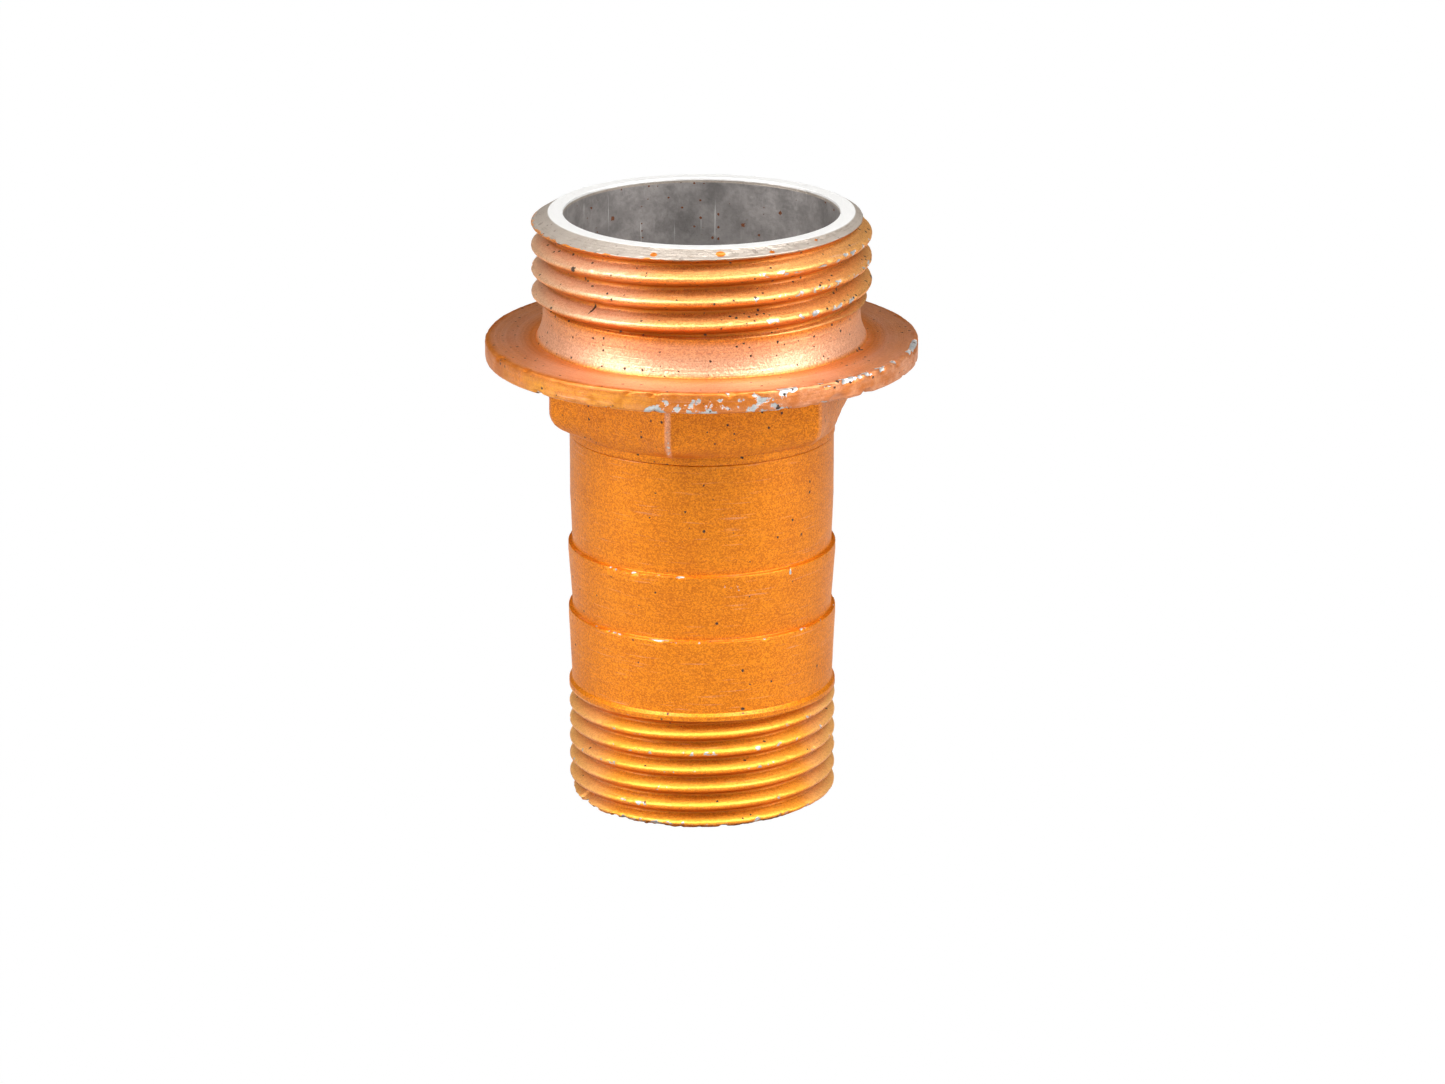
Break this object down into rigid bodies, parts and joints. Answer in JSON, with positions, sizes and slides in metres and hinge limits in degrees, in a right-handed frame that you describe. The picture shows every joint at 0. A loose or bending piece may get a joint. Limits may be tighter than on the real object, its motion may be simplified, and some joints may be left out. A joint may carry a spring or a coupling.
{
  "type": "thru hull fitting",
  "caption": "Flanged metal thru hull fitting: threaded spigot, round flange, spanner hex and barbed hose tail with a threaded end.",
  "frame": {"origin": "centre of the tail's end face, on which the fitting stands", "axes": "+Z along the waterway from the tail's end to the spigot's mouth; two flats of the hex face +X and -X"},
  "size_m": [0.0422, 0.0422, 0.0587],
  "materials": {
    "spigot_coat": "metallic bronze-gold coat over silver-grey metal, worn on the thread crests and bare at the mouth",
    "flange_coat": "metallic bronze-gold coat, chipped on the rim, with turning marks on its upper face",
    "hex_coat": "metallic bronze-gold coat over a rough cast surface",
    "tail_coat": "metallic bronze-gold coat, chipped on the barbs and thread crests"
  },
  "bodies": {
    "root": {"threaded_spigot": "spigot_coat", "flange_ring": "flange_coat", "hex_collar": "hex_coat", "hose_tail": "tail_coat"}
  },
  "joints": []
}
